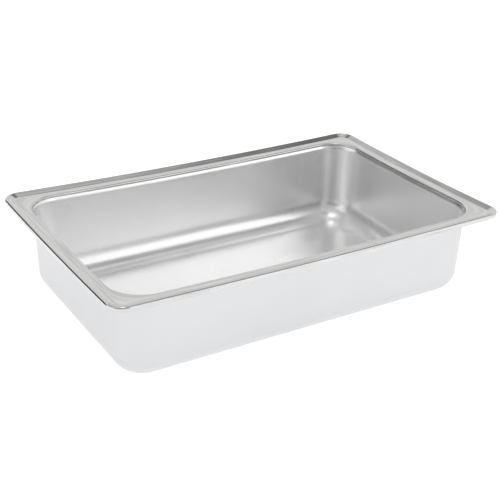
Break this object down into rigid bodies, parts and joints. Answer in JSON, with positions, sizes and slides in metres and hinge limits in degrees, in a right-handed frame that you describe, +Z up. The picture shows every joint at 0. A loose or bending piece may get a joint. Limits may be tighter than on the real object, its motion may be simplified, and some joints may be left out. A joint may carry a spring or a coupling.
{
  "type": "food pan",
  "caption": "Deep rectangular steel food pan with a sunken seat in its rim, a turned-down edge, drafted walls and a wide bottom radius.",
  "frame": {"origin": "centre of the underside of the floor, which is the plane that the pan stands on", "axes": "+X along the pan's long side, +Y across it, +Z up out of the open well"},
  "size_m": [0.552, 0.349, 0.1205],
  "materials": {
    "bright_rim": "stainless steel, buffed bright, with fine lengthwise polishing marks",
    "bright_shoulder": "stainless steel, buffed bright, going over to satin at its lower edge",
    "satin_wall": "stainless steel, soft satin, no clear grain",
    "satin_floor": "stainless steel, soft satin, no clear grain"
  },
  "bodies": {
    "root": {"turned_edge": "bright_rim", "stepped_rim": "bright_rim", "shoulder": "bright_shoulder", "front_wall": "satin_wall", "rear_wall": "satin_wall", "left_wall": "satin_wall", "right_wall": "satin_wall", "front_left_corner": "satin_wall", "front_right_corner": "satin_wall", "rear_left_corner": "satin_wall", "rear_right_corner": "satin_wall", "floor_panel": "satin_floor"}
  },
  "joints": []
}
